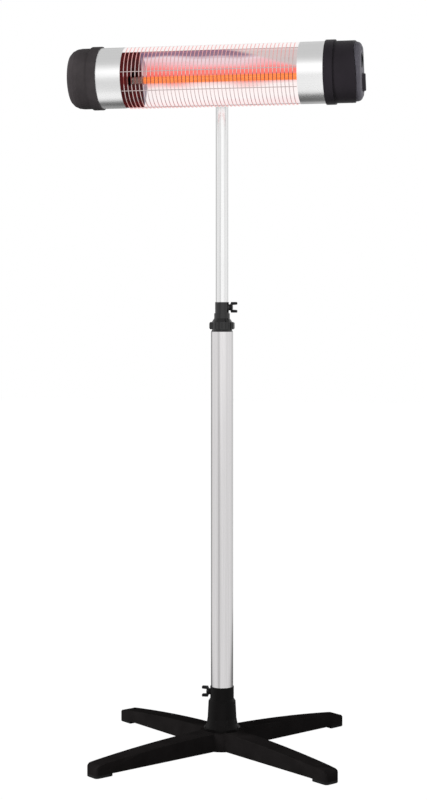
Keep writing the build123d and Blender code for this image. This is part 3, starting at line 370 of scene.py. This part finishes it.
def painted_light_wire():
    """Bright plated wire with the lamp's red light painted on it above and below the lamp, and painted shade
    where it crosses the lamp.
    """
    look = Finish("bright_wire")
    plain = look.drawn((0.62, 0.56, 0.55), 0.26, (200, 200, 200), 0.05)
    height = look.head_axes()["Z"]
    # Painted red light from the lamp, away from its height
    red_light_share = look.between(look.math("ABSOLUTE", height), *WIRE_RED_LIGHT_Z)
    # Painted shade on the wires where they cross before the lamp
    from_lamp = look.math("ABSOLUTE", look.math("SUBTRACT", height, WIRE_SHADE_Z))
    clear = look.between(from_lamp, *WIRE_SHADE_HALF)
    look.set(Emission_Color=look.mixed(red_light_share, (0.10, 0.05, 0.05), (0.50, 0.09, 0.075)), Emission_Strength=0.8,
             Base_Color=look.mixed(clear, (0.22, 0.05, 0.04), plain))
    return look.material


ALONG_POLE = (900, 900, 3)
ALONG_HEAD = (3, 900, 900)
# Painted light and shade of the trough and of its left end, from the lower edge at 0 to the upper edge at 1
TROUGH_GLOW = [(0.0, (0.95, 0.86, 0.87)), (0.10, (1.0, 0.95, 0.95)), (0.23, (1.0, 0.93, 0.93)),
               (0.29, (0.98, 0.50, 0.48)), (0.34, (1.0, 0.19, 0.14)), (0.52, (1.0, 0.15, 0.12)),
               (0.60, (0.98, 0.24, 0.23)), (0.70, (0.90, 0.46, 0.50)), (0.77, (0.80, 0.66, 0.72)),
               (0.82, (0.50, 0.40, 0.48)), (0.86, (0.19, 0.12, 0.21)), (0.97, (0.14, 0.08, 0.16)),
               (1.0, (0.28, 0.15, 0.19))]
END_GLOW = [(0.0, (0.10, 0.09, 0.13)), (0.35, (0.22, 0.18, 0.24)), (0.48, (0.70, 0.36, 0.36)),
            (0.62, (0.60, 0.32, 0.34)), (0.75, (0.20, 0.14, 0.20)), (1.0, (0.14, 0.09, 0.15))]
# Pale painted light in the trough's upper part towards the right end
PALE_CORNER_LIGHT = (0.58, 0.52, 0.52)

# Each finish is a name, a colour and a roughness, then its grain and depth or its lines
MATERIALS = {
    "base_black": moulded("satin_black_base", (0.0145, 0.0130, 0.0130), 0.70, 1400.0, 0.0001, shine=0.0),
    "socket_black": moulded("satin_black_socket", (0.004, 0.0035, 0.0035), 0.40, 1500.0, 0.00008, shine=0.08),
    "collar_black": moulded("satin_black_collar", (0.003, 0.003, 0.0035), 0.18, 1500.0, 0.00003, shine=0.50),
    "screw_black": moulded("black_wing_screw", (0.006, 0.006, 0.007), 0.36, 1500.0, 0.00006),
    "pad_rubber": moulded("foot_rubber", grey(0.010), 0.75, 700.0, 0.0002),
    "tube_silver": drawn_metal("anodised_lower_tube", (0.70, 0.685, 0.69), 0.20, ALONG_POLE),
    "tube_pale": drawn_metal("anodised_upper_tube", grey(0.80), 0.22, ALONG_POLE),
    "inner_plastic": moulded("black_fitting", grey(0.02), 0.55, 900.0, 0.0001),
    "fastener_steel": drawn_metal("zinc_plated_steel", (0.46, 0.46, 0.47), 0.3, (300, 300, 300), 0.1),
    "head_silver": housing_metal(),
    "bracket_dark": moulded("dark_bracket_coat", (0.03, 0.03, 0.034), 0.42, 1000.0, 0.0001),
    "casting_dark": moulded("dark_casting", (0.04, 0.04, 0.043), 0.48, 500.0, 0.0003),
    "cap_charcoal": moulded("charcoal_cap", (0.050, 0.044, 0.046), 0.50, 1100.0, 0.00012, shine=0.04),
    "cap_black": moulded("black_cap", (0.019, 0.016, 0.020), 0.45, 1100.0, 0.00012, shine=0.12),
    "panel_grey": moulded("panel_grey", (0.150, 0.142, 0.168), 0.40, 1300.0, 0.00008, shine=0.05),
    "control_black": moulded("control_black", (0.006, 0.006, 0.007), 0.28, 1800.0, 0.00004, shine=0.15),
    "reflector_bright": glowing("glowing_reflector", (0.10, 0.09, 0.09), 0.35, TROUGH_GLOW, 0.9, PALE_CORNER_LIGHT),
    "shield_sheet": drawn_metal("mill_sheet", grey(0.55), 0.35, ALONG_HEAD, 0.1, in_head=True),
    "holder_dark": moulded("dark_holder", (0.004, 0.003, 0.003), 0.5, 900.0, 0.0001, shine=0.05),
    "ceramic": moulded("ceramic", (0.70, 0.66, 0.60), 0.6, 700.0, 0.0001, 0.06),
    "terminal_white": moulded("white_switch_body", (0.70, 0.69, 0.65), 0.5, 900.0, 0.0001, 0.05),
    "lamp_glass": glass_tube(),
    "filament": hot_coil(),
    "wire_chrome": painted_light_wire(),
}
# Nodes with a finish of their own in place of their slot's
NODE_FINISHES = {
    # The reflector's left end has its own painted glow, dark as painted shade above and below a lit middle
    "reflector_end_left": glowing("left_reflector_end", (0.06, 0.05, 0.06), 0.4, END_GLOW, 0.7),
    "control_knob": moulded("knob_grey", (0.075, 0.070, 0.080), 0.36, 1500.0, 0.00005, shine=0.1),
}


def dress_frame():
    """Give every CAD node the material of its slot."""
    slots = {entry["node"]: entry["material_slot"] for entry in frame["record"]["subparts"]}
    for node, thing in frame["nodes"].items():
        for place in thing.material_slots:
            place.material = NODE_FINISHES.get(node, MATERIALS[slots[node]])


# Piece making


def add_piece(name, mesh, body, slot, stands_for):
    """Finish a piece: its object at the origin, its slot's material, its body and the nodes it replaces."""
    piece = bpy.data.objects.new(name, mesh)
    bpy.context.scene.collection.objects.link(piece)
    mesh.materials.clear()
    mesh.materials.append(MATERIALS[slot])
    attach(piece, body)
    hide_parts(*stands_for)


class Tree(NodeWriter):
    """A Geometry Nodes tree with its sizes as named inputs."""

    def __init__(self, name, sizes):
        self.group = bpy.data.node_groups.new(name, "GeometryNodeTree")
        super().__init__(self.group)
        self.sizes = {}
        for label, value in sizes.items():
            kind = "NodeSocketInt" if isinstance(value, int) else "NodeSocketFloat"
            socket = self.group.interface.new_socket(label, in_out="INPUT", socket_type=kind)
            self.sizes[socket.identifier] = value
        self.group.interface.new_socket("Geometry", in_out="OUTPUT", socket_type="NodeSocketGeometry")
        self.inputs = self.nodes.new("NodeGroupInput").outputs
        self.output = self.nodes.new("NodeGroupOutput").inputs[0]

    def tube(self, line, radius, sides):
        """Closed round wire along a curve."""
        profile = self.add("GeometryNodeCurvePrimitiveCircle", Resolution=sides, Radius=radius)[0]
        return self.add("GeometryNodeCurveToMesh", Curve=line, Profile_Curve=profile, Fill_Caps=True)[0]

    def mesh(self, geometry, material):
        """Run the tree once and return its result as a plain mesh."""
        real = self.add("GeometryNodeRealizeInstances", n0=geometry)[0]
        smooth = self.add("GeometryNodeSetShadeSmooth", Geometry=real)[0]
        painted = self.add("GeometryNodeSetMaterial", Geometry=smooth, Material=material)[0]
        self.link(painted, self.output)
        holder = bpy.data.objects.new("holder", bpy.data.meshes.new("holder"))
        bpy.context.scene.collection.objects.link(holder)
        modifier = holder.modifiers.new("nodes", "NODES")
        modifier.node_group = self.group
        for identifier, value in self.sizes.items():
            modifier[identifier] = value
        view = bpy.context.evaluated_depsgraph_get()
        result = bpy.data.meshes.new_from_object(holder.evaluated_get(view), depsgraph=view)
        bpy.data.objects.remove(holder)
        return result


def guard_wires():
    """Bent guard wires over the window, one arc repeated along the head, on four long wires."""
    tree = Tree("guard_wires", {"Count": WIRE_COUNT, "Pitch": 2 * WINDOW_HALF / (WIRE_COUNT + 1),
                                "Bend Radius": FRONT_RADIUS + WIRE_LIFT, "Centre": FRONT_CENTRE_Y,
                                "Angle": WIRE_ANGLE, "Radius": WIRE_RADIUS})
    given = tree.inputs
    line = tree.add("GeometryNodeCurvePrimitiveLine")[0]
    line = tree.add("GeometryNodeResampleCurve", Curve=line, Count=WIRE_POINTS)[0]
    along = tree.add("GeometryNodeSplineParameter")["Factor"]
    swing = tree.math("SUBTRACT", tree.math("MULTIPLY", along, 2.0), 1.0)
    angle = tree.math("MULTIPLY", swing, given["Angle"])
    reach = tree.math("MULTIPLY", tree.math("COSINE", angle), given["Bend Radius"])
    depth = tree.math("SUBTRACT", given["Centre"], reach)
    height = tree.math("MULTIPLY", tree.math("SINE", angle), given["Bend Radius"])
    place = tree.add("ShaderNodeCombineXYZ", Y=depth, Z=height)[0]
    arc = tree.add("GeometryNodeSetPosition", Geometry=line, Position=place)[0]
    wire = tree.tube(arc, given["Radius"], WIRE_SIDES)
    half_run = tree.math("MULTIPLY", tree.math("SUBTRACT", given["Count"], 1.0), 0.5)
    start = tree.math("MULTIPLY", tree.math("MULTIPLY", half_run, given["Pitch"]), -1.0)
    first = tree.add("ShaderNodeCombineXYZ", X=start)[0]
    step = tree.add("ShaderNodeCombineXYZ", X=given["Pitch"])[0]
    row = tree.add("GeometryNodeMeshLine", Count=given["Count"], Start_Location=first, Offset=step)[0]
    guard = tree.add("GeometryNodeInstanceOnPoints", Points=row, Instance=wire)[0]
    mesh = tree.mesh(guard, MATERIALS["wire_chrome"])
    add_long_wires(mesh)
    mesh.transform(HEAD_FRAME)
    add_piece("guard_wires", mesh, "head", "wire_chrome", ["grille"])


def add_long_wires(mesh):
    """Add the straight wires that the bent ones are welded to."""
    bm = bmesh.new()
    bm.from_mesh(mesh)
    reach = FRONT_RADIUS + LONG_WIRE_LIFT
    for angle in map(radians, LONG_WIRE_ANGLES):
        centre = Vector((0, FRONT_CENTRE_Y - reach * cos(angle), reach * sin(angle)))
        place = Matrix.Translation(centre) @ Matrix.Rotation(pi / 2, 4, "Y")
        made = bmesh.ops.create_cone(bm, cap_ends=True, segments=WIRE_SIDES, radius1=WIRE_RADIUS,
                                     radius2=WIRE_RADIUS, depth=2 * LONG_WIRE_HALF, matrix=place)
        for face in {face for vert in made["verts"] for face in vert.link_faces}:
            face.smooth = len(face.verts) == 4
    bm.to_mesh(mesh)
    bm.free()


def round_tip(bm, out):
    """Round the top edge of the arm that points along out, after cutting it into short steps."""
    start = ARM_REACH - TIP_ROUND
    for step in range(TIP_STEPS):
        cut = start + TIP_ROUND * sin(step / TIP_STEPS * pi / 2)
        everything = bm.verts[:] + bm.edges[:] + bm.faces[:]
        bmesh.ops.bisect_plane(bm, geom=everything, dist=ON_CUT, plane_co=out * cut, plane_no=out)
    for vert in bm.verts:
        past = (vert.co.dot(out) - start) / TIP_ROUND
        if past > 0 and vert.co.z > TIP_ROUND_BASE:
            drop = TIP_ROUND * (1 - sqrt(max(0.0, 1 - min(past, 1.0) ** 2)))
            share = (vert.co.z - TIP_ROUND_BASE) / (ARM_TIP_TOP - TIP_ROUND_BASE)
            vert.co.z -= drop * min(share, 1.0)


def base_arms():
    """The cross base with its arms' tips rounded over, from a merged copy of the CAD node's mesh."""
    bm = bmesh.new()
    bm.from_mesh(frame["nodes"]["base_cross"].data)
    bmesh.ops.remove_doubles(bm, verts=bm.verts, dist=SAME_POINT)
    for arm in range(ARM_COUNT):
        out = Vector((1, 0, 0))
        out.rotate(Matrix.Rotation(ARM_TURN + arm * 2 * pi / ARM_COUNT, 3, "Z"))
        round_tip(bm, out)
    mesh = bpy.data.meshes.new("base_arms")
    bm.to_mesh(mesh)
    bm.free()
    mesh.shade_smooth()
    mesh.set_sharp_from_angle(angle=ARM_CREASE)
    add_piece("base_arms", mesh, "stand", "base_black", ["base_cross"])


def lamp_coil():
    """Coiled filament in the quartz tube."""
    tree = Tree("lamp_coil", {"Turns": float(COIL_TURNS), "Coil Radius": COIL_RADIUS,
                              "Length": LAMP_RIGHT - LAMP_LEFT, "Wire": COIL_WIRE})
    given = tree.inputs
    spiral = tree.add("GeometryNodeCurveSpiral", Resolution=COIL_STEPS, Rotations=given["Turns"],
                      Start_Radius=given["Coil Radius"], End_Radius=given["Coil Radius"],
                      Height=given["Length"])[0]
    coil = tree.tube(spiral, given["Wire"], COIL_SIDES)
    mesh = tree.mesh(coil, MATERIALS["filament"])
    along_head = Matrix.Translation((LAMP_LEFT, LAMP_Y, LAMP_Z)) @ Matrix.Rotation(pi / 2, 4, "Y")
    mesh.transform(HEAD_FRAME @ along_head)
    add_piece("lamp_coil", mesh, "head", "filament", ["lamp_filament"])


# Camera, stage and light


def camera():
    """The photograph's level camera with its lens shifted down."""
    data = bpy.data.cameras.new("camera")
    data.sensor_fit = "VERTICAL"
    data.sensor_height = CAMERA_SENSOR
    data.lens = CAMERA_LENS
    data.shift_x, data.shift_y = CAMERA_SHIFT
    eye = bpy.data.objects.new("camera", data)
    eye.location = CAMERA_PLACE
    eye.rotation_euler = (pi / 2, 0, CAMERA_TURN)
    bpy.context.scene.collection.objects.link(eye)
    bpy.context.scene.camera = eye


def side_tones(look, direction):
    """Darker parts of the studio to the sides, as a colour over a level direction."""
    tone = WHITE
    for turn, outer, inner, brightness in DARK_SIDES:
        side = (cos(radians(turn)), sin(radians(turn)), 0.0)
        edge = (cos(radians(outer)), cos(radians(inner)))
        shadow = look.ramp(look.facing(direction, side), stops_at(edge, WHITE, grey(brightness)))
        tone = look.multiplied(shadow, tone)
    return tone


def floor():
    """White floor that keeps a soft shadow. Metal mirrors it with painted shade behind the heater, lighter
    farther out.
    """
    bm = bmesh.new()
    bmesh.ops.create_grid(bm, x_segments=1, y_segments=1, size=FLOOR_HALF)
    mesh = bpy.data.meshes.new("floor")
    bm.to_mesh(mesh)
    bm.free()
    plane = bpy.data.objects.new("floor", mesh)
    bpy.context.scene.collection.objects.link(plane)
    look = Finish("white_floor")
    place = look.space()
    look.set(Base_Color=look.tinted(look.noise(place, 3.0, 2.0), grey(0.19), grey(0.21)), Roughness=0.9)
    ray = look.add("ShaderNodeLightPath")
    direct = look.math("MAXIMUM", ray["Is Camera Ray"], ray["Is Transmission Ray"])
    seen = look.math("MAXIMUM", direct, ray["Is Glossy Ray"])
    # Painted shade in the floor that metal mirrors, around a spot behind the heater
    from_spot = look.add("ShaderNodeVectorMath", {"operation": "DISTANCE"}, n0=place, n1=FLOOR_SHADE_SPOT)["Value"]
    far = look.between(from_spot, *FLOOR_SHADE_EDGE)
    mirrored = look.math("MULTIPLY_ADD", far, FLOOR_BRIGHT - FLOOR_SHADE_IN_METAL, FLOOR_SHADE_IN_METAL)
    level = look.add("ShaderNodeVectorMath", {"operation": "NORMALIZE"}, n0=place)["Vector"]
    colour = look.mixed(direct, side_tones(look, level), WHITE)
    strength = look.math("MAXIMUM", look.math("MULTIPLY", direct, FLOOR_SEEN), mirrored)
    white = look.add("ShaderNodeEmission", Color=colour, Strength=strength)["Emission"]
    share = look.math("MULTIPLY", seen, FLOOR_WHITE)
    surface = look.add("ShaderNodeMixShader", n0=share, n1=look.shader.outputs["BSDF"], n2=white)["Shader"]
    look.link(surface, look.nodes["Material Output"].inputs["Surface"])
    mesh.materials.append(look.material)


def surroundings():
    """White to the camera, a soft studio in reflections and a plain even light on surfaces."""
    world = bpy.data.worlds.new("studio")
    bpy.context.scene.world = world
    world.use_nodes = True
    look = Shading(world.node_tree)
    direction = look.add("ShaderNodeTexCoord")["Generated"]
    rise = look.add("ShaderNodeSeparateXYZ", Vector=direction)["Z"]
    sky = look.ramp(rise, stops_at(SKY_EDGE, WHITE, grey(SKY_IN_METAL)))
    toward_camera = look.facing(direction, (sin(CAMERA_TURN), -cos(CAMERA_TURN), 0.0))
    front = look.ramp(toward_camera, stops_at(FRONT_EDGE, WHITE, grey(FRONT_IN_METAL)))
    mirrored = look.multiplied(look.multiplied(sky, front), side_tones(look, direction))
    ray = look.add("ShaderNodeLightPath")
    seen = look.math("MAXIMUM", ray["Is Camera Ray"], ray["Is Transmission Ray"])
    white = look.add("ShaderNodeBackground", Color=WHITE)[0]
    studio = look.add("ShaderNodeBackground", Color=mirrored)[0]
    even = look.add("ShaderNodeBackground", Color=WHITE, Strength=EVEN_LIGHT)[0]
    unseen = look.add("ShaderNodeMixShader", n0=ray["Is Glossy Ray"], n1=even, n2=studio)[0]
    surface = look.add("ShaderNodeMixShader", n0=seen, n1=unseen, n2=white)[0]
    look.link(surface, look.nodes["World Output"].inputs["Surface"])


def softbox(name, place, target, size, watts):
    """Large soft lamp turned towards a point. Metal doesn't mirror it."""
    data = bpy.data.lights.new(name, "AREA")
    data.shape = "RECTANGLE"
    data.size, data.size_y = size
    data.energy = watts
    lamp = bpy.data.objects.new(name, data)
    lamp.location = place
    lamp.visible_glossy = False
    lamp.rotation_euler = (Vector(target) - Vector(place)).to_track_quat("-Z", "Y").to_euler()
    bpy.context.scene.collection.objects.link(lamp)


def lights():
    """Two softboxes in front, one each side, and a weak one behind."""
    softbox("left_softbox", place=(-2.6, -2.4, 1.4), target=(0, 0, 1.1), size=(1.2, 0.8), watts=125)
    softbox("right_softbox", place=(2.6, -1.8, 1.7), target=(0, 0, 0.9), size=(0.9, 2.0), watts=44)
    softbox("back_softbox", place=(0.3, 2.6, 2.4), target=(0, 0, 1.0), size=(2.0, 1.2), watts=9)


camera()
surroundings()
lights()
floor()
dress_frame()
base_arms()
guard_wires()
lamp_coil()

bpy.context.scene.view_settings.view_transform = "Standard"
